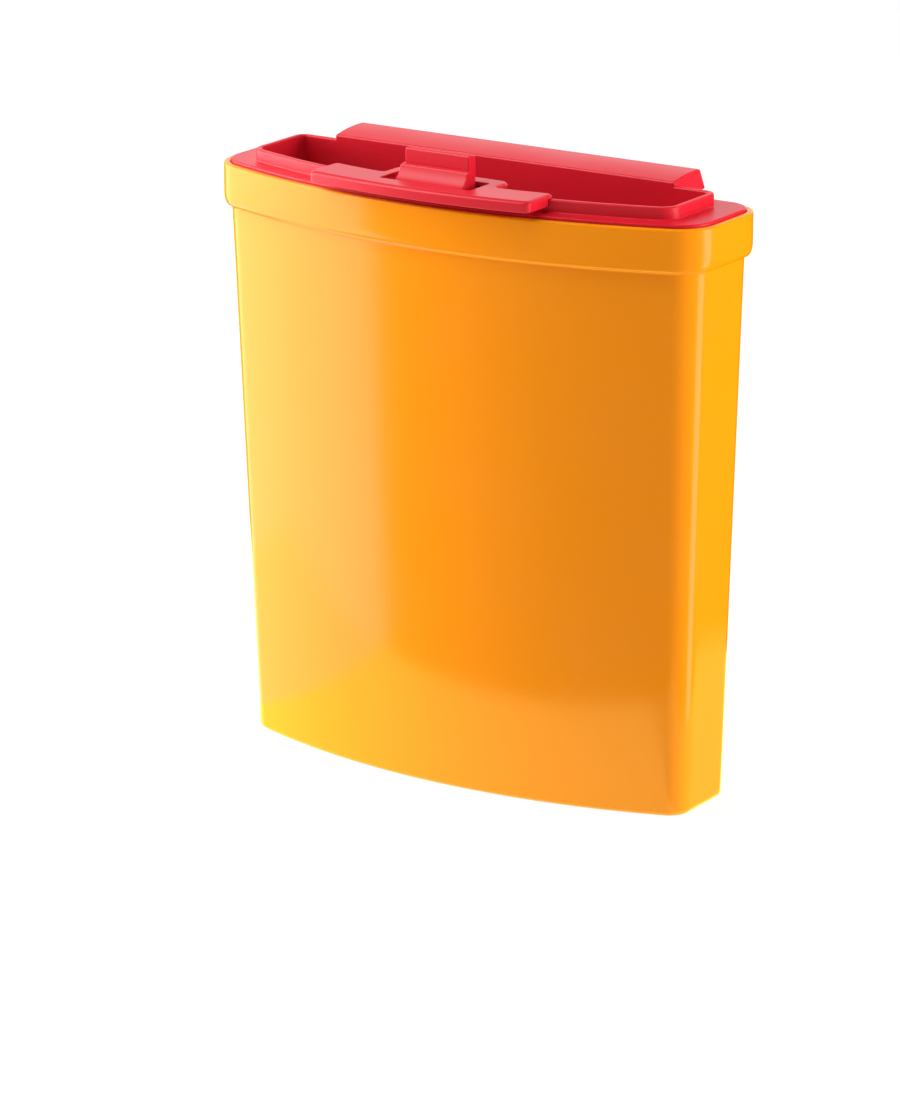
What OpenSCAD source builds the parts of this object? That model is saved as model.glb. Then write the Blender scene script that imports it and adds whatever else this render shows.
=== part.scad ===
// Flat-backed sharps container with a spring-loaded needle remover in its lid.
// Millimetres. Z up, the bowed front faces -Y, the origin is under the middle of the box.

/* [Bin] */
// Width of the bin over its rim
rim_w = 184; // [170:1:200]
// Depth of the bin over its rim, from the middle of the bowed front to the flat back
rim_d = 58; // [54:0.5:62]
// How far the front bows forward between the two front corners
bow = 18.7; // [14:0.1:22]
// Height of the bin to the top of its rim
bin_h = 194.5; // [150:0.5:240]
// Height of the thick band round the rim
band_h = 12.5; // [11:0.5:16]
// Wall thickness of the bin
bin_t = 1.8; // [1.4:0.1:2.2]
// How far the walls lean in from rim to base at each end
lean_end = 8.6; // [5:0.1:12]
// How far the wall leans in from rim to base at the front
lean_front = 10; // [5:0.1:12]
// How far the wall leans in from rim to base at the back
lean_back = 2.9; // [2.7:0.1:6]

/* [Lid] */
// Height of the deck above the rim
deck_rise = 1; // [0.6:0.1:2]
// Height of the collar round the opening, above the rim
collar_rise = 5.1; // [4.5:0.1:8]
// Wall thickness of the lid
lid_t = 2; // [1.6:0.1:2.4]
// Half width of the collar
collar_hw = 79.5; // [70:0.5:80]
// Half width of the hook along the back of the lid
hook_hw = 64.4; // [50:0.5:70]

/* [Needle remover] */
// Half width of the remover plate
plate_hw = 41.2; // [36:0.2:50]
// Thickness of the remover plate
plate_t = 1.4; // [1.2:0.1:2]
// Half width of the window that the lever stands in
window_hw = 16.9; // [16.8:0.1:18]
// Half width of the lever's web
web_hw = 12; // [11:0.1:12.4]
// Height of the lever's tip above the rim
lever_rise = 15.5; // [13:0.5:20]
// Diameter of the pivot pin
pin_d = 2.5; // [2:0.1:3]
// Turns of the return spring
spring_turns = 5; // [4:1:7]

/* [Hidden] */
$fn = 64;

bin_yellow = [1, 0.68, 0.08];
lid_red = [0.85, 0.08, 0.14];
steel = [0.75, 0.76, 0.78];

// Depths: the plate stands out in front of the rim and the hook behind it
plate_out = 4.3;
hook_out = 9.3;
front_y = -(plate_out + rim_d + hook_out) / 2 + plate_out;
back_y = front_y + rim_d;
front_r = (pow(rim_w / 2, 2) + pow(bow, 2)) / (2 * bow);
arc_y = front_y + front_r;

// Rim, step and base
corner_front_r = 14.6;
corner_back_r = 11;
base_front_r = 8.2;
base_back_r = 6.5;
band_step = 2.6;
band_round = 4;
base_round = 1.5;
floor_t = 2;
rim_t = 2.1;
play = 0.3;
rim_round = 0.6;
band_low = bin_h - band_h - 1.5;
ledge_z = band_low + band_round - 0.5;

// Lid
deck_in = rim_t + play;
skirt_t = 1.6;
skirt_z = ledge_z + play;
deck_z = bin_h + deck_rise;
deck_t = 2.2;
collar_in = 7.7;
collar_back_y = back_y - 8.1;
collar_z = bin_h + collar_rise;
throat_z = bin_h - 9;
collar_front_r = 6.5;
collar_back_r = 4;

// Hook profile, as [y, z] from the face of the opening round to the lip
hook_t = 1.8;
hook_root = [collar_back_y - lid_t, bin_h + 6.5];
hook_crown = [back_y - 4.8, bin_h + 7.6];
hook_top = [back_y + 5.9, bin_h + 8];
hook_lip = [back_y + hook_out, bin_h + 0.8];

// Remover plate and the notch below it
plate_z = collar_z + plate_t;
plate_in = 11.1;
plate_lip_z = collar_z - 2.3;
plate_lip_t = 1.6;
window_front_y = front_y + 3.5;
window_back_y = front_y + 15.1;
lobe_hw = 21.3;
lobe_back_y = front_y + 21.6;
lobe_r = 4;
notch_hw = 20.4;
notch_front_y = front_y + 4.1;

// Pivot, cheeks and spring shelf
pivot = [front_y + 18.4, bin_h + 2.2];
barrel_r = 2.6;
barrel_hw = 14.2;
cheek_in = 14.6;
cheek_t = 2.4;
cheek_front_y = pivot[0] - 2.8;
cheek_back_y = pivot[0] + 2.8;
shelf_z = bin_h - 8.4;
shelf_t = 1.6;
shelf_hw = 5.5;
shelf_front_y = front_y + 7.8;
snap_x = 32;
snap_w = 8;

// Lever
web_front_y = front_y + 10.7;
web_back_y = front_y + 14.7;
foot_z = bin_h + 1;
pad_hw = 12.6;
pad_top = [front_y + 9, bin_h + 10.5];
pad_low = [front_y + 4.7, bin_h + 5.3];
pad_under_z = bin_h + 4.1;
pad_dish = 0.7;

// Stripper plate
stripper_t = 1;
stripper_hw = 19.2;
stripper_front_y = front_y + 5.4;
stripper_back_y = pivot[0] - 3.3;
tine_back_y = pivot[0] - 4.8;
key_x = (pad_hw + window_hw) / 2;
key_y = front_y + 10.6;
key_r = 2.2;
key_slot = 2.6;
key_front_y = front_y + 7.7;
rivet_x = 7;
rivet_y = front_y + 12.7;
rivet_r = 1.25;

// Pin, clips and spring
pin_r = pin_d / 2;
pin_hw = 18.6;
clip_x = 17.3;
clip_t = 0.6;
clip_r = 2.6;
spring_y = front_y + 11.3;
spring_r = 2.6;
spring_wire = 0.6;
spring_z = shelf_z + spring_wire / 2;
spring_top = foot_z - stripper_t - spring_wire / 2 - 0.15;

// Value that goes from a to b as f goes from 0 to 1
function mix(a, b, f) = a + (b - a) * f;

// Points on an arc from angle a to angle b
function arc(cx, cy, r, a, b, n) =
    [for (i = [0:n]) let (t = mix(a, b, i / n)) [cx + r * cos(t), cy + r * sin(t)]];

// Outline with a bowed front, straight ends, a flat back and four round corners.
// hw is the half width, r the radius of the bowed front, yb the back, rf and rb the corner radii.
function outline(hw, r, yb, rf, rb) =
    let (xf = hw - rf, th = asin(xf / (r - rf)), yf = arc_y - (r - rf) * cos(th))
    concat(arc(0, arc_y, r, -90 - th, -90 + th, 28),
           arc(xf, yf, rf, -90 + th + 8, 0, 6),
           arc(hw - rb, yb - rb, rb, 0, 90, 6),
           arc(rb - hw, yb - rb, rb, 90, 180, 6),
           arc(-xf, yf, rf, 180, 270 - th - 8, 6));

// Outline of the rim moved in by d all round
function rim_line(d) =
    outline(rim_w / 2 - d, front_r - d, back_y - d, corner_front_r - d, corner_back_r - d);

// Outline of the leaning wall at height z, moved in by d all round
function wall_line(z, d) =
    let (f = 1 - z / band_low)
    outline(rim_w / 2 - d - mix(band_step, lean_end, f),
            front_r - d - mix(band_step, lean_front, f),
            back_y - d - mix(band_step, lean_back, f),
            mix(corner_front_r - band_step, base_front_r, f) - d,
            mix(corner_back_r - band_step, base_back_r, f) - d);

// Outline of the collar moved in by d
function collar_line(d) =
    outline(collar_hw - d, front_r - collar_in - d, collar_back_y - d, collar_front_r - d, collar_back_r - d);

module slab(points, z, t) translate([0, 0, z]) linear_extrude(t) polygon(points);

module block(x0, x1, y0, y1, z0, z1) translate([x0, y0, z0]) cube([x1 - x0, y1 - y0, z1 - z0]);

// A side profile of [y, z] points carried along X from x0 to x1
module side_profile(points, x0, x1)
    translate([x0, 0, 0]) rotate([90, 0, 90]) linear_extrude(x1 - x0) polygon(points);

module x_cylinder(r, x0, x1, y, z) translate([x0, y, z]) rotate([0, 90, 0]) cylinder(r = r, h = x1 - x0);

module mirrored() {
    children();
    mirror([1, 0, 0]) children();
}

// Height points to an outline
function lift(points, z) = [for (p = points) [p[0], p[1], z]];

// Closed skin over a stack of outlines that all have the same number of points
module skin(rings) {
    n = len(rings[0]);
    last = n * (len(rings) - 1);
    walls = [for (i = [0:len(rings) - 2]) for (k = [0:n - 1]) let (a = n * i + k, b = n * i + (k + 1) % n)
             each [[a, a + n, b + n], [a, b + n, b]]];
    ends = [[for (k = [0:n - 1]) k], [for (k = [n - 1:-1:0]) last + k]];
    polyhedron([for (r = rings) each r], concat(walls, ends));
}

// One skin: up the outside of the bin, over its rim and down the inside to the floor
module container_body() color(bin_yellow) skin(concat(
    [for (a = [0, 45, 90]) let (d = base_round * (1 - sin(a)), z = base_round * (1 - cos(a)))
     lift(wall_line(z, d), z)],
    [for (a = [0:22.5:90]) let (d = band_step * (1 - sin(a)), z = band_low + band_round * (1 - cos(a)))
     lift(rim_line(d), z)],
    [for (a = [0, 45, 90]) let (d = rim_round * (1 - cos(a)), z = bin_h - rim_round * (1 - sin(a)))
     lift(rim_line(d), z)],
    [lift(rim_line(rim_t), bin_h), lift(rim_line(rim_t), ledge_z),
     lift(wall_line(ledge_z, bin_t), ledge_z),
     lift(wall_line(floor_t + base_round, bin_t), floor_t + base_round),
     lift(wall_line(floor_t, bin_t + base_round), floor_t)]));

module hook() {
    lean = (hook_lip[0] - hook_top[0]) / (hook_top[1] - hook_lip[1]);
    lip_in = hook_t * sqrt(1 + lean * lean);
    crown_z = hook_crown[1] - hook_t;
    root_z = hook_root[1] - hook_t
             + lid_t * (hook_crown[1] - hook_root[1]) / (hook_crown[0] - hook_root[0]);
    outer = [hook_root, hook_crown, hook_top, hook_lip];
    inner = [[hook_lip[0] - lip_in, hook_lip[1]], [hook_top[0] - lip_in + hook_t * lean, crown_z + 0.3],
             [hook_crown[0], crown_z], [collar_back_y, root_z]];
    foot = [[collar_back_y, deck_z - 0.5], [hook_root[0], deck_z - 0.5]];
    side_profile(concat(outer, inner, foot), -hook_hw, hook_hw);
    mirrored() side_profile(concat(outer, [[hook_root[0], hook_lip[1] + 0.2]]), hook_hw - hook_t, hook_hw);
}

module lid() color(lid_red) difference() {
    union() {
        difference() {
            union() {
                slab(rim_line(deck_in), deck_z - deck_t, deck_t);
                difference() {
                    slab(rim_line(deck_in), skirt_z, deck_z - deck_t - skirt_z);
                    slab(rim_line(deck_in + skirt_t), skirt_z - 1, deck_z - skirt_z);
                }
                slab(collar_line(0), throat_z, collar_z - throat_z);
            }
            slab(collar_line(lid_t), throat_z - 1, collar_z - throat_z + 2);
        }
        hook();
    }
    block(-notch_hw, notch_hw, notch_front_y, arc_y - front_r + 22, throat_z - 1, collar_z + 1);
}

// Band between two arcs of radius r0 and r1 about the bow's centre, out to half width hw
function bow_band(hw, r0, r1) =
    let (a0 = asin(hw / r0), a1 = asin(hw / r1))
    concat(arc(0, arc_y, r0, -90 - a0, -90 + a0, 16), arc(0, arc_y, r1, -90 + a1, -90 - a1, 16));

// Plan of the remover plate: a bowed band and a lobe over the pivot, with the window cut out
module plate_plan() difference() {
    union() {
        polygon(bow_band(plate_hw, front_r + plate_out, front_r - plate_in));
        polygon(concat([[-lobe_hw, window_back_y - 6], [lobe_hw, window_back_y - 6]],
                       arc(lobe_hw - lobe_r, lobe_back_y - lobe_r, lobe_r, 0, 90, 8),
                       arc(lobe_r - lobe_hw, lobe_back_y - lobe_r, lobe_r, 90, 180, 8)));
    }
    translate([-window_hw, window_front_y]) square([2 * window_hw, window_back_y - window_front_y]);
}

// Lip that hangs from the plate's front edge and from its ends as far back as the collar
module plate_lip() translate([0, 0, plate_lip_z]) linear_extrude(plate_z - plate_lip_z - 0.2) difference() {
    polygon(bow_band(plate_hw, front_r + plate_out, front_r - collar_in + play));
    polygon(bow_band(plate_hw - plate_lip_t, front_r + plate_out - plate_lip_t, front_r - collar_in - 1));
}

// Snap leg that grips the inside of the collar and hooks under its lower edge
module snap() {
    wall = front_r - collar_in - lid_t - play / 2;
    turn = asin(snap_x / wall);
    face_y = arc_y - wall * cos(turn);
    leg_t = 1.6;
    low = throat_z - 2.4;
    translate([snap_x, face_y, 0]) rotate([0, 0, turn]) translate([0, -0.25, 0])
        side_profile([[0.25, collar_z + 0.5], [0.25, throat_z - play], [-0.75, throat_z - play],
                      [0.6, low], [0.25 + leg_t, low], [0.25 + leg_t, collar_z + 0.5]],
                     -snap_w / 2, snap_w / 2);
}

module remover_plate() color(lid_red) difference() {
    union() {
        translate([0, 0, collar_z]) linear_extrude(plate_t) plate_plan();
        plate_lip();
        mirrored() snap();
        mirrored() block(cheek_in, cheek_in + cheek_t, cheek_front_y, cheek_back_y,
                         shelf_z - shelf_t, collar_z + 0.5);
        block(-cheek_in - 0.5, cheek_in + 0.5, cheek_front_y, cheek_back_y, shelf_z - shelf_t, shelf_z);
        block(-shelf_hw, shelf_hw, shelf_front_y, cheek_front_y + 1, shelf_z - shelf_t, shelf_z);
        translate([0, spring_y, shelf_z - 0.5]) cylinder(r = spring_r - spring_wire, h = 2.5);
    }
    x_cylinder(pin_r + 0.02, -cheek_in - 5, cheek_in + 5, pivot[0], pivot[1]);
}

// Side profile of the thumb pad, with a shallow dish in its sloping face
function pad_profile() =
    let (n = 8, dy = pad_top[0] - pad_low[0], dz = pad_top[1] - pad_low[1], len = sqrt(dy * dy + dz * dz))
    concat([[web_front_y + 0.5, pad_top[1]]],
           [for (i = [0:n]) let (t = i / n, dip = pad_dish * sin(180 * t))
            [pad_top[0] - dy * t + dip * dz / len, pad_top[1] - dz * t - dip * dy / len]],
           [[pad_low[0], pad_under_z], [web_front_y + 0.5, pad_under_z]]);

module lever() color(lid_red) difference() {
    union() {
        block(-web_hw, web_hw, web_front_y, web_back_y, foot_z, bin_h + lever_rise);
        side_profile(pad_profile(), -pad_hw, pad_hw);
        block(-web_hw, web_hw, web_back_y - 1, pivot[0], foot_z, pivot[1] + 1.6);
        x_cylinder(barrel_r, -barrel_hw, barrel_hw, pivot[0], pivot[1]);
    }
    x_cylinder(pin_r + 0.05, -barrel_hw - 1, barrel_hw + 1, pivot[0], pivot[1]);
    mirrored() translate([rivet_x, rivet_y, foot_z - 1]) cylinder(r = rivet_r, h = 6);
}

module stripper_plate() color(steel) translate([0, 0, foot_z - stripper_t]) difference() {
    union() {
        block(-stripper_hw, stripper_hw, stripper_front_y, tine_back_y, 0, stripper_t);
        block(1 - web_hw, web_hw - 1, stripper_front_y, stripper_back_y, 0, stripper_t);
    }
    mirrored() {
        translate([key_x, key_y, -1]) cylinder(r = key_r, h = 3);
        translate([key_x, key_front_y, -1]) cylinder(r = key_slot / 2, h = 3);
        block(key_x - key_slot / 2, key_x + key_slot / 2, key_front_y, key_y, -1, 2);
        translate([rivet_x, rivet_y, -1]) cylinder(r = rivet_r, h = 3);
    }
}

module stripper_rivets() color(steel) mirrored() translate([rivet_x, rivet_y, foot_z - stripper_t]) {
    cylinder(r = rivet_r, h = 5.5);
    translate([0, 0, -0.6]) cylinder(r = 2.2, h = 0.6);
}

module pivot_pin() color(steel) x_cylinder(pin_r, -pin_hw, pin_hw, pivot[0], pivot[1]);

module pin_clips() color(steel) mirrored() difference() {
    x_cylinder(clip_r, clip_x, clip_x + clip_t, pivot[0], pivot[1]);
    x_cylinder(pin_r + 0.01, clip_x - 1, clip_x + 1, pivot[0], pivot[1]);
}

// Ring of points round the spring wire at turn angle t
function spring_ring(t, rise) =
    [for (k = [0:5]) let (a = 60 * k, r = spring_r + spring_wire / 2 * cos(a))
     [r * cos(t), spring_y + r * sin(t), rise + spring_wire / 2 * sin(a)]];

module return_spring() color(steel) {
    steps = 14 * spring_turns;
    rings = [for (i = [0:steps]) let (f = i / steps, s = (f - 0.1) / 0.8, g = min(1, max(0, s)))
             spring_ring(360 * spring_turns * f,
                         spring_z + (spring_top - spring_z) * (0.9 * g + 0.1 * f))];
    skin(rings);
}

container_body();
lid();
remover_plate();
lever();
stripper_plate();
stripper_rivets();
pivot_pin();
pin_clips();
return_spring();
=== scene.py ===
from math import asin, atan2, cos, degrees, hypot, pi, radians, sin, sqrt, tan

import bmesh
import bpy
from mathutils import Matrix, Vector
from mathutils.geometry import tessellate_polygon


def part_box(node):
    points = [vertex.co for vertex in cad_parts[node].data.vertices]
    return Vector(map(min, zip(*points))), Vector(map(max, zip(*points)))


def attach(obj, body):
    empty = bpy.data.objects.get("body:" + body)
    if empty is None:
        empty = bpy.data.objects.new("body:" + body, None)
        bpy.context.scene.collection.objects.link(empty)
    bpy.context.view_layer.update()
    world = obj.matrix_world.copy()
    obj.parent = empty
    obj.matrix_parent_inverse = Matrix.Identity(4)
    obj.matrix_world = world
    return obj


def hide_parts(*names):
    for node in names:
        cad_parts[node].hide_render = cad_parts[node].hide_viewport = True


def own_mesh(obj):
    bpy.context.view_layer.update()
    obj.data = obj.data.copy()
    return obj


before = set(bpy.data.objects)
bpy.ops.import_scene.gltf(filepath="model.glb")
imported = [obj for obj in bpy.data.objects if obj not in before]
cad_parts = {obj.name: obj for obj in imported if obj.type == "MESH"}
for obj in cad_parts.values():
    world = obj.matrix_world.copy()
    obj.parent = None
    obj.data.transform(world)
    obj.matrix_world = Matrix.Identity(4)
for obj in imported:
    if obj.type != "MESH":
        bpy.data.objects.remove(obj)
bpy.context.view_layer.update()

# The pieces are worked out in millimetres, in the frame's own axes, and new_object scales them to metres.
MM = 0.001


def box_mm(node):
    """Lowest and highest corner of a CAD node, in millimetres."""
    low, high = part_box(node)
    return Vector(low) / MM, Vector(high) / MM


# ---------------------------------------------------------------- sizes

bin_low, bin_high = box_mm("container_body")
plate_low, plate_high = box_mm("remover_plate")
lid_low, lid_high = box_mm("lid")
lever_low, lever_high = box_mm("lever")
pin_low, pin_high = box_mm("pivot_pin")
spring_low, spring_high = box_mm("return_spring")

RIM_W = bin_high.x - bin_low.x
RIM_Z = bin_high.z
FRONT_Y = bin_low.y
BACK_Y = bin_high.y

# Depth of the front's bow, with the radius and the centre of its arc
BOW = 18.7
FRONT_R = ((RIM_W / 2) ** 2 + BOW**2) / (2 * BOW)
ARC_Y = FRONT_Y + FRONT_R

# Bin: corners at the rim and at the base, band, lean of the walls down to the base, thicknesses and ledge
CORNER_FRONT_R, CORNER_BACK_R = 14.6, 11.0
BASE_FRONT_R, BASE_BACK_R = 8.2, 6.5
BAND_STEP, BAND_ROUND = 2.6, 4.0
BAND_LOW = RIM_Z - 14.0
LEAN_END, LEAN_FRONT, LEAN_BACK = 8.6, 10.0, 2.9
BIN_T, RIM_T, FLOOR_T = 1.8, 2.1, 2.0
LEDGE_Z = BAND_LOW + BAND_ROUND - 0.5

# Lid: deck, skirt, collar round the opening, thickness and lower end of the throat
DECK_IN = RIM_T + 0.3
DECK_Z = RIM_Z + 1.0
DECK_UNDER = DECK_Z - 2.2
SKIRT_T, SKIRT_Z = 1.6, lid_low.z + 1.2
COLLAR_IN, COLLAR_HW = 7.7, 79.5
COLLAR_FRONT_R, COLLAR_BACK_R = 6.5, 4.0
COLLAR_BACK_Y = BACK_Y - 8.1
COLLAR_Z = RIM_Z + 5.1
LID_T = 2.0
THROAT_Z = RIM_Z - 9.0

# Faces of solids that are joined stand this far apart, so that no two lie in one plane
SHY = 0.02


def mix(a, b, f):
    """Value the fraction f of the way from a to b."""
    return a + (b - a) * f


def arc(cx, cy, r, a, b, n):
    """n + 1 points on an arc, from angle a to angle b in degrees."""
    turn = [radians(mix(a, b, i / n)) for i in range(n + 1)]
    return [(cx + r * cos(t), cy + r * sin(t)) for t in turn]


def outline(hw, r, back, rf, rb):
    """Plan with a bowed front, straight ends, a flat back and four round corners, anticlockwise."""
    xf = hw - rf
    th = degrees(asin(xf / (r - rf)))
    yf = ARC_Y - (r - rf) * cos(radians(th))
    return (
        arc(0, ARC_Y, r, -90 - th, -90 + th, 96)
        + arc(xf, yf, rf, -90 + th, 0, 18)[1:]
        + arc(hw - rb, back - rb, rb, 0, 90, 18)
        + arc(rb - hw, back - rb, rb, 90, 180, 18)
        + arc(-xf, yf, rf, 180, 270 - th, 18)[:-1]
    )


def rim_line(d):
    """Outline of the rim, moved in by d all round."""
    return outline(RIM_W / 2 - d, FRONT_R - d, BACK_Y - d, CORNER_FRONT_R - d, CORNER_BACK_R - d)


def wall_line(z, d):
    """Outline of the leaning wall at height z, moved in by d all round."""
    f = 1 - z / BAND_LOW
    return outline(
        RIM_W / 2 - d - mix(BAND_STEP, LEAN_END, f),
        FRONT_R - d - mix(BAND_STEP, LEAN_FRONT, f),
        BACK_Y - d - mix(BAND_STEP, LEAN_BACK, f),
        max(mix(CORNER_FRONT_R - BAND_STEP, BASE_FRONT_R, f) - d, 0.3),
        max(mix(CORNER_BACK_R - BAND_STEP, BASE_BACK_R, f) - d, 0.3),
    )


def collar_line(d):
    """Outline of the collar, moved in by d all round."""
    return outline(
        COLLAR_HW - d, FRONT_R - COLLAR_IN - d, COLLAR_BACK_Y - d, COLLAR_FRONT_R - d, COLLAR_BACK_R - d
    )


# ---------------------------------------------------------------- mesh making


def fillet(d0, z0, d1, z1, steps=5, bulge=True):
    """(inset, height) pairs along a quarter ellipse; bulge leaves (d0, z0) along the height first."""
    pairs = []
    for i in range(steps + 1):
        t = pi / 2 * i / steps
        if bulge:
            pairs.append((mix(d0, d1, 1 - cos(t)), mix(z0, z1, sin(t))))
        else:
            pairs.append((mix(d0, d1, sin(t)), mix(z0, z1, 1 - cos(t))))
    return pairs


def lift(points, z):
    """Plan points at height z."""
    return [(x, y, z) for x, y in points]


def new_object(name, verts, faces):
    """Mesh object from points in millimetres, with its faces turned outwards."""
    mesh = bpy.data.meshes.new(name)
    mesh.from_pydata([Vector(v) * MM for v in verts], [], faces)
    made = bmesh.new()
    made.from_mesh(mesh)
    bmesh.ops.recalc_face_normals(made, faces=made.faces)
    made.to_mesh(mesh)
    made.free()
    obj = bpy.data.objects.new(name, mesh)
    bpy.context.scene.collection.objects.link(obj)
    return obj


def skin(name, rings, closed=False):
    """Skin over a stack of outlines with equal counts; closed joins the last outline to the first."""
    n = len(rings[0])
    verts = [p for ring in rings for p in ring]
    faces = []
    count = len(rings) if closed else len(rings) - 1
    for i in range(count):
        a, b = n * i, n * ((i + 1) % len(rings))
        faces += [(a + k, a + (k + 1) % n, b + (k + 1) % n, b + k) for k in range(n)]
    if not closed:
        faces.append(tuple(reversed(range(n))))
        faces.append(tuple(n * (len(rings) - 1) + k for k in range(n)))
    return new_object(name, verts, faces)


def rounded(corners, steps=8):
    """Polygon whose (x, y, r) corners are rounded by r; plain (x, y) points stay."""
    points = []
    n = len(corners)
    for i, corner in enumerate(corners):
        x, y = corner[:2]
        r = corner[2] if len(corner) > 2 else 0
        if r <= 0:
            points.append((x, y))
            continue
        p = Vector((x, y))
        u = (Vector(corners[i - 1][:2]) - p).normalized()
        v = (Vector(corners[(i + 1) % n][:2]) - p).normalized()
        half = u.angle(v) / 2
        centre = p + (u + v).normalized() * (r / sin(half))
        start = p + u * (r / tan(half)) - centre
        end = p + v * (r / tan(half)) - centre
        a0 = atan2(start.y, start.x)
        turn = (atan2(end.y, end.x) - a0 + pi) % (2 * pi) - pi
        for k in range(steps + 1):
            a = a0 + turn * k / steps
            points.append((centre.x + r * cos(a), centre.y + r * sin(a)))
    return points


def inset(points, d):
    """Anticlockwise polygon moved inwards by d, with mitred corners; the sharpest mitres are cut short."""
    shortest = 0.3
    made = []
    n = len(points)
    for i in range(n):
        p = Vector(points[i])
        a = (p - Vector(points[i - 1])).normalized()
        b = (Vector(points[(i + 1) % n]) - p).normalized()
        na, nb = Vector((-a.y, a.x)), Vector((-b.y, b.x))
        q = p + (na + nb) * (d / max(1 + na.dot(nb), shortest))
        made.append((q.x, q.y))
    return made


def prism(name, plan, low, high, low_r=0.0, high_r=0.0, holes=(), hole_r=0.0, along="z", reach=1.0):
    """Solid over a plan with rounded edges. along z takes (x, y); along x takes (y, z) and runs along X.

    reach stretches the upper rounding inwards over the plan.
    """
    low_steps, high_steps = 4, 6

    def place(point, w):
        return (point[0], point[1], w) if along == "z" else (w, point[0], point[1])

    def levels(r_low, r_high, stretch):
        made = [(0, low)]
        if r_low > 0:
            made = fillet(r_low, low, 0, low + r_low, low_steps, bulge=False)
        if r_high > 0:
            return made + fillet(0, high - r_high, r_high * stretch, high, high_steps)
        return made + [(0, high)]

    verts, faces, caps = [], [], []
    loops = [(plan, 1, levels(low_r, high_r, reach))]
    loops += [(h, -1, levels(min(hole_r, low_r), hole_r, 1)) for h in holes]
    for loop, side, rows in loops:
        n = len(loop)
        start = len(verts)
        for d, w in rows:
            verts += [place(p, w) for p in inset(loop, d * side)]
        for i in range(len(rows) - 1):
            a, b = start + n * i, start + n * (i + 1)
            faces += [(a + k, a + (k + 1) % n, b + (k + 1) % n, b + k) for k in range(n)]
        caps.append(([start + k for k in range(n)], [start + n * (len(rows) - 1) + k for k in range(n)]))
    for end in (0, 1):
        rings = [cap[end] for cap in caps]
        flat = [i for ring in rings for i in ring]
        if len(rings) == 1:
            faces.append(tuple(flat))
        else:
            fill = tessellate_polygon([[verts[i] for i in ring] for ring in rings])
            faces += [tuple(flat[i] for i in triangle) for triangle in fill]
    return new_object(name, verts, faces)


def bake_modifiers(obj):
    """Turns an object's modifiers into its mesh."""
    graph = bpy.context.evaluated_depsgraph_get()
    mesh = bpy.data.meshes.new_from_object(obj.evaluated_get(graph))
    obj.modifiers.clear()
    obj.data = mesh


def combine(target, tools, operation):
    """Joins or cuts solids exactly, throws the tools away and clears the slivers that are left."""
    merge, sliver = 0.002 * MM, 0.001 * MM
    for tool in tools:
        step = target.modifiers.new("combine", "BOOLEAN")
        step.operation, step.solver, step.object = operation, "EXACT", tool
        bake_modifiers(target)
        bpy.data.objects.remove(tool)
    clean = bmesh.new()
    clean.from_mesh(target.data)
    bmesh.ops.remove_doubles(clean, verts=clean.verts, dist=merge)
    bmesh.ops.dissolve_degenerate(clean, edges=clean.edges, dist=sliver)
    clean.to_mesh(target.data)
    clean.free()
    return target


def dress(obj, material, body, slot, *nodes, sharp=40):
    """Shading, material and the body that a finished piece rides on."""
    obj.data.shade_smooth()
    obj.data.set_sharp_from_angle(angle=radians(sharp))
    normals = obj.modifiers.new("even shading", "WEIGHTED_NORMAL")
    normals.keep_sharp = True
    obj.data.materials.clear()
    obj.data.materials.append(material)
    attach(obj, body)
    if nodes:
        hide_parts(*nodes)
    return obj


# ---------------------------------------------------------------- materials


class Shader:
    """Principled material, with short calls that add its nodes."""

    def __init__(self, name, **values):
        self.material = bpy.data.materials.new(name)
        self.material.use_nodes = True
        self.tree = self.material.node_tree
        self.surface = self.tree.nodes["Principled BSDF"]
        for key, value in values.items():
            self.surface.inputs[key.replace("_", " ")].default_value = value
        self.coords = self.tree.nodes.new("ShaderNodeTexCoord").outputs["Object"]

    def node(self, kind, links=None, **settings):
        """Adds a node; links are sockets to join or plain values for its inputs."""
        made = self.tree.nodes.new(kind)
        for key, value in settings.items():
            setattr(made, key, value)
        for key, value in (links or {}).items():
            if isinstance(value, bpy.types.NodeSocket):
                self.tree.links.new(value, made.inputs[key])
            else:
                made.inputs[key].default_value = value
        return made

    def noise(self, scale, detail=3.0, stretch=(1, 1, 1)):
        """Noise over the piece's own coordinates, with scale cells to the metre."""
        place = self.node("ShaderNodeMapping", {"Vector": self.coords, "Scale": stretch})
        links = {"Vector": place.outputs["Vector"], "Scale": scale, "Detail": detail, "Roughness": 0.55}
        return self.node("ShaderNodeTexNoise", links).outputs["Fac"]

    def spread(self, value, low, high):
        """Spreads a noise, which stays within 0.05 and 0.95 of its range, over low to high."""
        links = {"Value": value, "From Min": 0.05, "From Max": 0.95, "To Min": low, "To Max": high}
        return self.node("ShaderNodeMapRange", links).outputs["Result"]

    def blend(self, factor, low, high):
        """Colour between low and high."""
        mixer = self.node("ShaderNodeMix", data_type="RGBA")
        self.tree.links.new(factor, mixer.inputs[0])
        mixer.inputs[6].default_value = (*low, 1)
        mixer.inputs[7].default_value = (*high, 1)
        return mixer.outputs[2]

    def feed(self, name, value):
        """Joins a socket to the shader's own input."""
        self.tree.links.new(value, self.surface.inputs[name])

    def bump(self, height, distance, strength=1.0, under=None):
        """Normal from a height in metres, laid over another normal if one is given."""
        links = {"Height": height, "Distance": distance, "Strength": strength}
        if under:
            links["Normal"] = under
        return self.node("ShaderNodeBump", links).outputs["Normal"]


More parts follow.
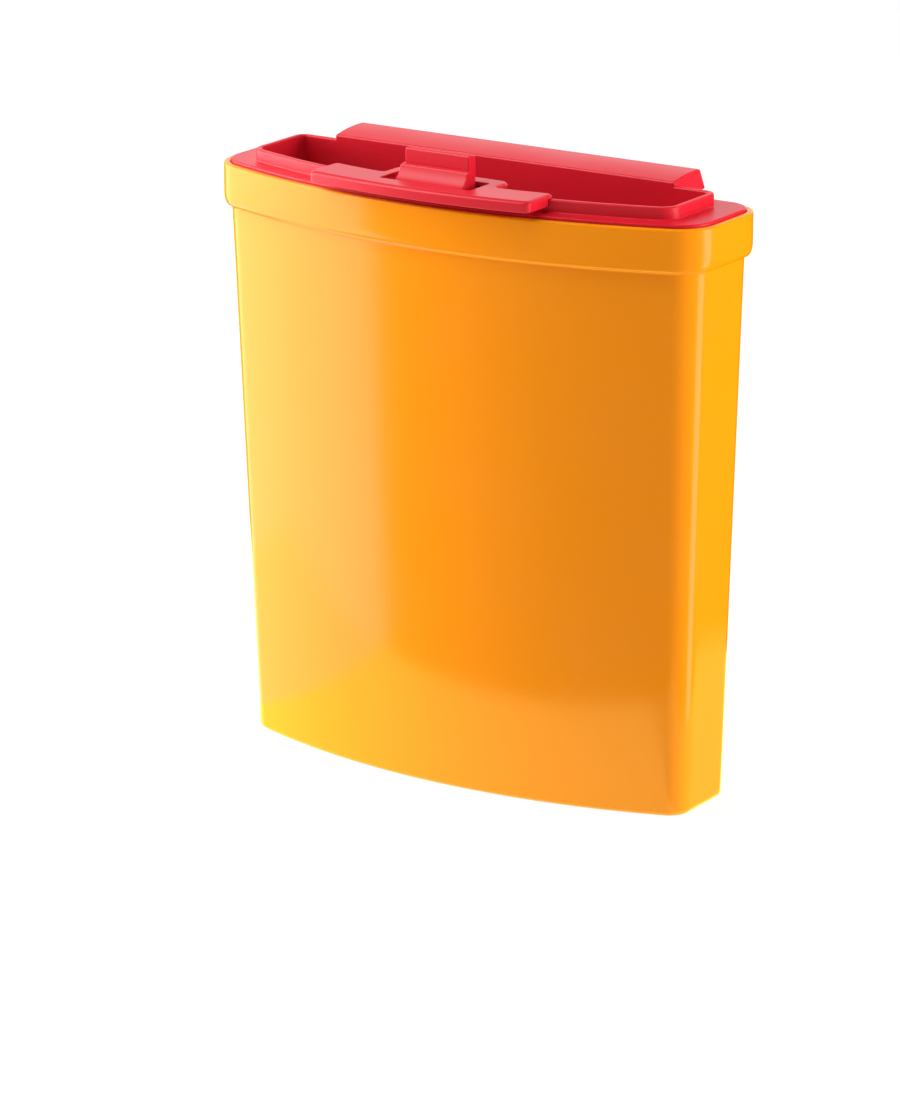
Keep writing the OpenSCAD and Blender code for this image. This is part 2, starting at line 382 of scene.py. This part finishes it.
def moulded_plastic(name, colour, deep, roughness):
    """Glossy moulded polypropylene: flow tint, light handling haze, faint sink waves and orange peel."""
    s = Shader(name, IOR=1.49)
    flow = s.noise(scale=9.0, detail=1.0, stretch=(1, 1, 0.45))
    s.feed("Base Color", s.blend(flow, deep, colour))
    haze = s.spread(s.noise(scale=32.0, detail=2.0), roughness - 0.05, roughness + 0.06)
    s.feed("Roughness", haze)
    peel = s.bump(s.noise(scale=420.0, detail=2.0), distance=0.00001, strength=0.2)
    sink = s.bump(s.noise(scale=28.0, detail=1.0), distance=0.00005, strength=0.2, under=peel)
    s.feed("Normal", sink)
    return s.material


def bright_steel(name, tint, roughness, grain):
    """Drawn or ground steel with fine streaks along one axis."""
    s = Shader(name, Metallic=1.0)
    streak = s.noise(scale=900.0, detail=3.0, stretch=grain)
    worn = tuple(c * 0.82 for c in tint)
    s.feed("Base Color", s.blend(s.spread(streak, 0, 1), worn, tint))
    s.feed("Roughness", s.spread(streak, roughness - 0.07, roughness + 0.09))
    s.feed("Normal", s.bump(streak, distance=0.00001, strength=0.4))
    return s.material


YELLOW = moulded_plastic("bin yellow", (0.92, 0.273, 0.001), deep=(0.89, 0.26, 0.0009), roughness=0.16)
RED = moulded_plastic("lid red", (0.66, 0.01, 0.025), deep=(0.63, 0.009, 0.023), roughness=0.34)
SHEET_STEEL = bright_steel("stainless sheet", tint=(0.72, 0.73, 0.75), roughness=0.3, grain=(1, 0.04, 1))
PIN_STEEL = bright_steel("pin steel", tint=(0.66, 0.67, 0.69), roughness=0.26, grain=(0.04, 1, 1))
SPRING_STEEL = bright_steel("spring steel", tint=(0.5, 0.51, 0.53), roughness=0.32, grain=(0.2, 1, 1))


# ---------------------------------------------------------------- bin


def wall_between(low, high, d):
    """Outlines of the leaning wall between two heights, without the two ends."""
    steps = 10
    heights = [mix(low, high, i / steps) for i in range(1, steps)]
    return [lift(wall_line(z, d), z) for z in heights]


def make_bin():
    """One continuous skin: foot ring, wall, rounded band, rim, ledge, inner wall and floor."""
    foot_in, foot_slope, foot_flat, foot_rise = 4.6, 1.2, 2.0, 0.7
    base_r, join_r, join_in, rim_r = 1.9, 1.2, 0.8, 0.8
    edge_r, ledge_r, floor_r = 0.4, 0.3, 3.0
    foot = fillet(foot_in + foot_slope, foot_rise, foot_in, 0, 5, bulge=False)
    base = fillet(base_r, 0, 0, base_r, 6, bulge=False)
    join = fillet(0, BAND_LOW - join_r, -join_r * join_in, BAND_LOW, 5)
    band = fillet(BAND_STEP - join_r, BAND_LOW, 0, BAND_LOW + BAND_ROUND, 9, bulge=False)
    rim_out = fillet(0, RIM_Z - rim_r, rim_r, RIM_Z, 6)
    rim_in = fillet(RIM_T - edge_r, RIM_Z, RIM_T, RIM_Z - edge_r, 4, bulge=False)
    ledge = fillet(BIN_T - edge_r, LEDGE_Z, BIN_T, LEDGE_Z - edge_r, 4, bulge=False)
    floor_low = fillet(0, FLOOR_T + floor_r, floor_r, FLOOR_T, 7)

    rings = [lift(wall_line(0, foot_in + foot_flat), foot_rise)]
    rings += [lift(wall_line(0, d), z) for d, z in foot]
    rings += [lift(wall_line(z, d), z) for d, z in base]
    rings += wall_between(base_r, BAND_LOW - join_r, 0)
    rings += [lift(wall_line(BAND_LOW, d), z) for d, z in join]
    rings += [lift(rim_line(d), z) for d, z in band + rim_out + rim_in]
    rings += [lift(rim_line(RIM_T), LEDGE_Z + ledge_r), lift(rim_line(RIM_T + ledge_r), LEDGE_Z)]
    rings += [lift(wall_line(LEDGE_Z, d), z) for d, z in ledge]
    rings += wall_between(LEDGE_Z, FLOOR_T + floor_r, BIN_T)
    rings += [lift(wall_line(z, BIN_T + d), z) for d, z in floor_low]
    shell = skin("bin_shell", rings)
    return dress(shell, YELLOW, "bin", "bin_plastic", "container_body", sharp=50)


# ---------------------------------------------------------------- lid

# Hook: (y, z) of its front edge, back edge and lip, and the rise of its crown between the first two
HOOK_HW, HOOK_T = 64.4, 1.8
HOOK_ROOT = (COLLAR_BACK_Y - LID_T + SHY, RIM_Z + 6.5)
HOOK_CROWN = 0.55
HOOK_TOP = (BACK_Y + 6.0, RIM_Z + 7.9)
HOOK_LIP = (lid_high.y + 0.2, RIM_Z + 0.8)

# Notch in the collar's front wall, under the remover plate
NOTCH_HW = 20.4
NOTCH_FRONT_Y = FRONT_Y + 4.1
NOTCH_BACK_Y = FRONT_Y + 22.0


def make_hook():
    """Raised bar behind the opening: a gently crowned top, a lip behind the rim, and closed ends."""
    crown = []
    for i in range(2, 11):
        t = i / 12
        rise = HOOK_CROWN * sin(pi * t)
        crown.append((mix(HOOK_TOP[0], HOOK_ROOT[0], t), mix(HOOK_TOP[1], HOOK_ROOT[1], t) + rise))
    outer = rounded([
        (*HOOK_TOP, 1.6), *crown, (*HOOK_ROOT, 0.8), (HOOK_ROOT[0], HOOK_LIP[1]), (*HOOK_LIP, 0.4),
    ])
    bar = prism("bar", outer, -HOOK_HW, HOOK_HW, 0.5, 0.5, along="x")

    lean = (HOOK_LIP[0] - HOOK_TOP[0]) / (HOOK_TOP[1] - HOOK_LIP[1])
    lip_in = HOOK_T * sqrt(1 + lean**2)
    front_y = COLLAR_BACK_Y - SHY
    under_z = HOOK_LIP[1] - 1
    inner = rounded([
        (HOOK_TOP[0] - lip_in + HOOK_T * lean, HOOK_TOP[1] - HOOK_T - 0.1, 0.9),
        (front_y, COLLAR_Z - 0.6, 0.8), (front_y, under_z), (HOOK_LIP[0] - lip_in + lean, under_z),
    ])
    hollow = prism("hollow", inner, HOOK_T - HOOK_HW, HOOK_HW - HOOK_T, 0.4, 0.4, along="x")
    return combine(bar, [hollow], "DIFFERENCE")


def make_lid():
    """Deck, skirt, collar and throat as one skin round the opening, with the hook joined on."""
    skirt_r, deck_r, collar_r, throat_r, draft = 0.4, 0.6, 0.7, 0.5, 0.05
    edge, inner = DECK_IN, DECK_IN + SKIRT_T
    profile = [
        (rim_line, fillet(edge + skirt_r, SKIRT_Z, edge, SKIRT_Z + skirt_r, 3, bulge=False)),
        (rim_line, fillet(edge, DECK_Z - deck_r, edge + deck_r, DECK_Z, 5)),
        (collar_line, fillet(-deck_r, DECK_Z, 0, DECK_Z + deck_r, 5, bulge=False)),
        (collar_line, fillet(draft, COLLAR_Z - collar_r, draft + collar_r, COLLAR_Z, 5)),
        (collar_line, fillet(LID_T - collar_r, COLLAR_Z, LID_T, COLLAR_Z - collar_r, 5, bulge=False)),
        (collar_line, fillet(LID_T, THROAT_Z + throat_r, LID_T - throat_r, THROAT_Z, 3)),
        (collar_line, fillet(throat_r, THROAT_Z, 0, THROAT_Z + throat_r, 3, bulge=False)),
        (collar_line, fillet(0, DECK_UNDER - deck_r, -deck_r, DECK_UNDER, 4)),
        (rim_line, fillet(inner + deck_r, DECK_UNDER, inner, DECK_UNDER - deck_r, 4, bulge=False)),
        (rim_line, fillet(inner, SKIRT_Z + skirt_r, inner - skirt_r, SKIRT_Z, 3)),
    ]
    lid = skin("lid_shell", [lift(line(d), z) for line, pairs in profile for d, z in pairs], closed=True)
    combine(lid, [make_hook()], "UNION")
    corners = [(-NOTCH_HW, NOTCH_FRONT_Y, 1.0), (NOTCH_HW, NOTCH_FRONT_Y, 1.0),
               (NOTCH_HW, NOTCH_BACK_Y), (-NOTCH_HW, NOTCH_BACK_Y)]
    notch = prism("notch", rounded(corners), THROAT_Z - 1, COLLAR_Z + 1)
    combine(lid, [notch], "DIFFERENCE")
    return dress(lid, RED, "lid_body", "lid_plastic", "lid")


# ---------------------------------------------------------------- remover plate

PLATE_HW = plate_high.x
PLATE_Z = RIM_Z + 6.5
PLATE_OUT_R = FRONT_R + (FRONT_Y - plate_low.y)
PLATE_BACK_R = FRONT_R - 11.1
# The lip's thickness and lower edge, and the distance from each end at which the bowed front stops
LIP_T, LIP_Z, CORNER_IN = 1.6, RIM_Z + 2.8, 4
WINDOW_HW = 16.9
WINDOW_FRONT_Y, WINDOW_BACK_Y = FRONT_Y + 3.5, FRONT_Y + 15.1
LOBE_HW, LOBE_BACK_Y = 21.3, FRONT_Y + 21.6
PIVOT_Y = (pin_low.y + pin_high.y) / 2
PIVOT_Z = (pin_low.z + pin_high.z) / 2
CHEEK_IN, CHEEK_T, CHEEK_REACH = 14.6, 2.4, 2.8
SHELF_Z, SHELF_T = RIM_Z - 8.4, 1.6
SNAP_X, SNAP_HW, SNAP_T, SNAP_PLAY = 32.0, 4, 1.6, 0.15


def bow_y(x, r):
    """Depth of an arc of radius r about the bowed front's centre, at x."""
    return ARC_Y - sqrt(r * r - x * x)


def bow_points(r, x0, x1, n):
    """n + 1 points on that arc, from x0 to x1."""
    return [(mix(x0, x1, i / n), bow_y(mix(x0, x1, i / n), r)) for i in range(n + 1)]


def flipped(half):
    """Mirror image of a run of points, in the order that carries on round a plan."""
    return [(-p[0], *p[1:]) for p in reversed(half)]


def tube(name, y, z, r, x0, x1):
    """Round bar along X."""
    ring = arc(y, z, r, 0, 360, 48)[:-1]
    return prism(name, ring, x0, x1, 0, 0, along="x")


def make_snap(side):
    """Snap leg that runs down inside the collar and hooks under its lower edge."""
    hook, tip, lead = 1.0, 0.35, 2.4
    reach = FRONT_R - COLLAR_IN - LID_T - SNAP_PLAY
    turn = asin(SNAP_X / reach)
    under_z, low = THROAT_Z - 0.3, THROAT_Z - lead
    leg = prism("snap", rounded([
        (0, under_z), (-hook, under_z, 0.2), (tip, low, 0.3), (SNAP_T, low, 0.3),
        (SNAP_T, COLLAR_Z + 0.5), (0, COLLAR_Z + 0.5),
    ], 4), -SNAP_HW, SNAP_HW, 0.4, 0.4, along="x")
    turned = Matrix.Rotation(turn * side, 4, "Z")
    foot = Vector((SNAP_X * side, ARC_Y - reach * cos(turn), 0)) * MM
    leg.data.transform(Matrix.Translation(foot) @ turned)
    return leg


def plate_top():
    """Flat plate with bowed edges, a window, and a lobe behind the window."""
    x = PLATE_HW
    front = bow_points(PLATE_OUT_R, -x + CORNER_IN, x - CORNER_IN, 40)
    back = bow_points(PLATE_BACK_R, x, LOBE_HW, 8)[1:-1]
    half = [(x, bow_y(x, PLATE_OUT_R), 2.2), (x, bow_y(x, PLATE_BACK_R), 2.0), *back]
    half += [(LOBE_HW, bow_y(LOBE_HW, PLATE_BACK_R), 0.9), (LOBE_HW, LOBE_BACK_Y, 4.0)]
    window = rounded([(-WINDOW_HW, WINDOW_FRONT_Y, 0.7), (WINDOW_HW, WINDOW_FRONT_Y, 0.7),
                      (WINDOW_HW, WINDOW_BACK_Y, 0.7), (-WINDOW_HW, WINDOW_BACK_Y, 0.7)])
    plan = rounded(front + half + flipped(half))
    return prism("remover_plate_shell", plan, COLLAR_Z, PLATE_Z, 0.15, 1.2, [window], 0.35, reach=1.35)


def plate_lip():
    """Lip that hangs in front of the collar and turns back round both ends, just inside the plate's edge."""
    end_x, inner_x, bend_in = PLATE_HW - 0.05, PLATE_HW - LIP_T - 0.05, 3.6
    out_r, in_r = PLATE_OUT_R - 0.03, PLATE_OUT_R - LIP_T
    end_y = bow_y(PLATE_HW, FRONT_R - COLLAR_IN) - 0.35
    half = [(end_x, bow_y(PLATE_HW, PLATE_OUT_R), 2.2), (end_x, end_y, 0.5), (inner_x, end_y, 0.5),
            (inner_x, bow_y(inner_x, in_r), 0.6)]
    outer = bow_points(out_r, -PLATE_HW + CORNER_IN, PLATE_HW - CORNER_IN, 40)
    inner = bow_points(in_r, PLATE_HW - bend_in, bend_in - PLATE_HW, 40)
    plan = rounded(outer + half + inner + flipped(half))
    return prism("lip", plan, LIP_Z, PLATE_Z - 1.15, 0.4, 0)


def plate_cheek(side):
    """Cheek that hangs under the lobe on one side and holds the pivot pin."""
    x0, x1 = sorted((side * CHEEK_IN, side * (CHEEK_IN + CHEEK_T)))
    y0, y1 = PIVOT_Y - CHEEK_REACH, PIVOT_Y + CHEEK_REACH
    low, high = SHELF_Z - SHELF_T, COLLAR_Z + 0.5
    face = rounded([(y0, low, 0.8), (y1, low, 0.8), (y1, high), (y0, high)])
    return prism("cheek", face, x0, x1, 0.25, 0.25, along="x")


def plate_shelf():
    """Shelf between the cheeks, with a tongue forward under the spring."""
    out_x, tongue_hw = CHEEK_IN + 1, 5.5
    y0, y1, tongue_y = PIVOT_Y - 2.6, PIVOT_Y + 2.6, FRONT_Y + 7.8
    plan = rounded([
        (-out_x, y0), (-tongue_hw, y0, 0.8), (-tongue_hw, tongue_y, 1.5), (tongue_hw, tongue_y, 1.5),
        (tongue_hw, y0, 0.8), (out_x, y0), (out_x, y1), (-out_x, y1),
    ])
    return prism("shelf", plan, SHELF_Z - SHELF_T + 0.05, SHELF_Z, 0.3, 0.3)


def spring_boss():
    """Peg on the shelf that keeps the spring in place."""
    centre_y = (spring_low.y + spring_high.y) / 2
    return prism("boss", arc(0, centre_y, 1.9, 0, 360, 40)[:-1], SHELF_Z - 0.5, SHELF_Z + 2.0, 0, 0.5)


def make_plate():
    """Top, lip, cheeks, shelf, boss and snap legs as one moulding, with a bore for the pivot pin."""
    plate = plate_top()
    cheeks = [plate_cheek(side) for side in (-1, 1)]
    snaps = [make_snap(side) for side in (-1, 1)]
    combine(plate, [plate_lip(), *cheeks, plate_shelf(), spring_boss(), *snaps], "UNION")
    bore = tube("bore", PIVOT_Y, PIVOT_Z, 1.27, -CHEEK_IN - 5, CHEEK_IN + 5)
    combine(plate, [bore], "DIFFERENCE")
    return dress(plate, RED, "lid_body", "lid_plastic", "remover_plate")


# ---------------------------------------------------------------- lever

WEB_HW, PAD_HW = 12.0, 12.6
WEB_FRONT_Y, WEB_BACK_Y = FRONT_Y + 10.7, FRONT_Y + 14.7
TIP_FRONT_Z, TIP_BACK_Z = lever_high.z + 0.2, lever_high.z - 0.7
PAD_TOP = (FRONT_Y + 9.0, RIM_Z + 10.5)
PAD_LOW = (lever_low.y, RIM_Z + 5.3)
PAD_UNDER_Z = RIM_Z + 4.1
PAD_DISH = 0.8
FOOT_Z = RIM_Z + 1.0
BARREL_R, BORE_R = 2.6, 1.3


def pad_face():
    """Points down the sloping face of the thumb pad, with its shallow dish."""
    run, rise = PAD_TOP[0] - PAD_LOW[0], PAD_TOP[1] - PAD_LOW[1]
    length = hypot(run, rise)
    steps = 14
    points = []
    for i in range(1, steps):
        t = i / steps
        dip = PAD_DISH * sin(pi * t)
        y = PAD_TOP[0] - run * t + dip * rise / length
        z = PAD_TOP[1] - rise * t - dip * run / length
        points.append((y, z))
    return points


def make_lever():
    """Upright web with its foot, the wider dished thumb pad in front of it, and the pivot barrel behind."""
    step_z, root_y = PIVOT_Z + 1.6, WEB_FRONT_Y + 0.6
    web = rounded([
        (WEB_FRONT_Y, FOOT_Z, 0.3), (PIVOT_Y, FOOT_Z), (PIVOT_Y, step_z), (WEB_BACK_Y, step_z, 0.6),
        (WEB_BACK_Y, TIP_BACK_Z, 0.9), (WEB_FRONT_Y, TIP_FRONT_Z, 0.9),
    ], 6)
    pad = rounded([
        (root_y, PAD_TOP[1] + 0.1), (*PAD_TOP, 1.0), *pad_face(), (*PAD_LOW, 0.4),
        (PAD_LOW[0], PAD_UNDER_Z, 0.35), (root_y, PAD_UNDER_Z),
    ], 6)
    lever = prism("lever_shell", web, -WEB_HW, WEB_HW, 0.4, 0.4, along="x")
    combine(lever, [prism("pad", pad, -PAD_HW, PAD_HW, 0.3, 0.3, along="x")], "UNION")
    ring = arc(PIVOT_Y, PIVOT_Z, BARREL_R, 0, 360, 64)[:-1]
    combine(lever, [prism("barrel", ring, lever_low.x, lever_high.x, 0.3, 0.3, along="x")], "UNION")
    bore = tube("bore", PIVOT_Y, PIVOT_Z, BORE_R, lever_low.x - 1, lever_high.x + 1)
    combine(lever, [bore], "DIFFERENCE")
    return dress(lever, RED, "lever_body", "lid_plastic", "lever")


# ---------------------------------------------------------------- small steel parts


def make_spring():
    """Coil spring with closed end turns."""
    wire, turns, per_turn, sides = 0.3, 5, 40, 12
    closed, end_pitch, pressed_height = 0.1, 0.1, 4.8
    radius = (spring_high.x - spring_low.x) / 2 - wire
    centre_y = (spring_low.y + spring_high.y) / 2
    low, high = spring_low.z + wire, spring_high.z - wire
    steps = turns * per_turn
    rings = []
    for i in range(steps + 1):
        f = i / steps
        g = min(1, max(0, (f - closed) / (1 - 2 * closed)))
        rise = low + (high - low) * ((1 - end_pitch) * g + end_pitch * f)
        a = 2 * pi * turns * f
        ring = []
        for k in range(sides):
            b = 2 * pi * k / sides
            r = radius + wire * cos(b)
            ring.append((r * cos(a), centre_y + r * sin(a), rise + wire * sin(b)))
        rings.append(ring)
    spring = skin("return_spring_coil", rings)
    dress(spring, SPRING_STEEL, "lid_body", "spring_steel", "return_spring")
    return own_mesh(spring)


def dress_cad(node, material, edge):
    """Keeps a CAD node whose shape is right, breaks its edges and gives it its metal."""
    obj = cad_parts[node]
    obj.data.materials.clear()
    obj.data.materials.append(material)
    bevel = obj.modifiers.new("broken edges", "BEVEL")
    bevel.width, bevel.segments, bevel.limit_method = edge * MM, 2, "ANGLE"
    bevel.angle_limit = radians(40)


make_bin()
make_lid()
make_plate()
make_lever()
make_spring()
dress_cad("stripper_plate", SHEET_STEEL, 0.12)
dress_cad("stripper_rivets", PIN_STEEL, 0.2)
dress_cad("pivot_pin", PIN_STEEL, 0.2)
dress_cad("pin_clips", SPRING_STEEL, 0.1)


# ---------------------------------------------------------------- stage, light and camera, in metres


def sheet(name, x, y, z, white, glow, tint=(1, 1, 1)):
    """Flat matt sheet of the stage over a span of x and y, which gives light of its own in a tint."""
    corners = [(x[0], y[0], z), (x[1], y[0], z), (x[1], y[1], z), (x[0], y[1], z)]
    mesh = bpy.data.meshes.new(name)
    mesh.from_pydata(corners, [], [(0, 1, 2, 3)])
    made = bpy.data.objects.new(name, mesh)
    bpy.context.scene.collection.objects.link(made)
    s = Shader(name, Roughness=0.9, Emission_Strength=glow)
    s.surface.inputs["Base Color"].default_value = (white, white, white, 1)
    s.surface.inputs["Emission Color"].default_value = (*tint, 1)
    made.data.materials.append(s.material)
    return made


def softbox(name, azimuth, elevation, distance, size, radiance, mirrored=True):
    """Area light aimed at the object: azimuth 0 in front, 90 to the right; the gloss sees it if mirrored."""
    width, height = size
    middle = Vector((0, 0, 0.1))
    a, e = radians(azimuth), radians(elevation)
    out = Vector((sin(a) * cos(e), -cos(a) * cos(e), sin(e)))
    data = bpy.data.lights.new(name, "AREA")
    data.shape, data.size, data.size_y = "RECTANGLE", width, height
    data.energy = radiance * pi * width * height
    lamp = bpy.data.objects.new(name, data)
    lamp.location = middle + out * distance
    lamp.rotation_mode = "QUATERNION"
    lamp.rotation_quaternion = (-out).to_track_quat("-Z", "Y")
    lamp.visible_camera = False
    lamp.visible_glossy = mirrored
    bpy.context.scene.collection.objects.link(lamp)


def make_world(fill):
    """Dim even white surround that the gloss does not see."""
    world = bpy.data.worlds.new("studio")
    world.use_nodes = True
    shade = world.node_tree.nodes["Background"]
    shade.inputs["Color"].default_value = (1, 1, 1, 1)
    shade.inputs["Strength"].default_value = fill
    world.cycles_visibility.glossy = False
    bpy.context.scene.world = world


def make_camera():
    """Camera 33 degrees to the right of the front and 17 above, aimed at the bin."""
    azimuth, elevation, distance, lens = radians(33.32), radians(16.93), 1.626, 162.99
    aim = Vector((-0.0049, -0.0059, 0.0735))
    look = Vector((-sin(azimuth) * cos(elevation), cos(azimuth) * cos(elevation), -sin(elevation)))
    data = bpy.data.cameras.new("camera")
    data.lens, data.sensor_width = lens, 36.0
    camera = bpy.data.objects.new("camera", data)
    camera.location = aim - look * distance
    camera.rotation_mode = "QUATERNION"
    camera.rotation_quaternion = look.to_track_quat("-Z", "Y")
    bpy.context.scene.collection.objects.link(camera)
    bpy.context.scene.camera = camera


floor = sheet("floor", (-6, 6), (-6, 6), 0, white=0.2, glow=0.84)
floor.visible_glossy = False

# Cards on the table that only the gloss sees. They stand in for the bright floor, which the gloss does not
# see, and for the warm light that the bin throws on it.
CARD_Y, CARD_Z = (-0.1, 0.16), 0.0004
cards = [
    sheet("near table", (-0.1, 0.085), CARD_Y, CARD_Z, white=0.0, glow=3.1, tint=(1.0, 0.82, 0.2)),
    sheet("left table", (-0.26, -0.1), CARD_Y, CARD_Z, white=0.0, glow=1.9, tint=(1.0, 0.9, 0.75)),
    sheet("right table", (0.085, 0.16), CARD_Y, CARD_Z, white=0.0, glow=1.2, tint=(1.0, 0.82, 0.27)),
]
for card in cards:
    card.visible_camera = card.visible_diffuse = card.visible_shadow = False

make_world(0.03)
softbox("key", azimuth=-55, elevation=45, distance=1.3, size=(0.9, 0.9), radiance=3.7)
softbox("top", azimuth=0, elevation=80, distance=1.2, size=(0.6, 0.6), radiance=5.0, mirrored=False)
softbox("left window", azimuth=-74.2, elevation=0, distance=1.0, size=(1.14, 1.3), radiance=2.2)
softbox("left side", azimuth=-80, elevation=9, distance=1.0, size=(0.7, 0.5), radiance=19, mirrored=False)
softbox("right strip", azimuth=107, elevation=0, distance=1.0, size=(0.35, 1.3), radiance=2.2)
softbox("right side", azimuth=108, elevation=12, distance=1.0, size=(0.7, 0.7), radiance=8.3, mirrored=False)
softbox("backdrop", azimuth=205, elevation=22, distance=1.5, size=(2.2, 1.0), radiance=1.0)
make_camera()
bpy.context.scene.view_settings.view_transform = "Standard"
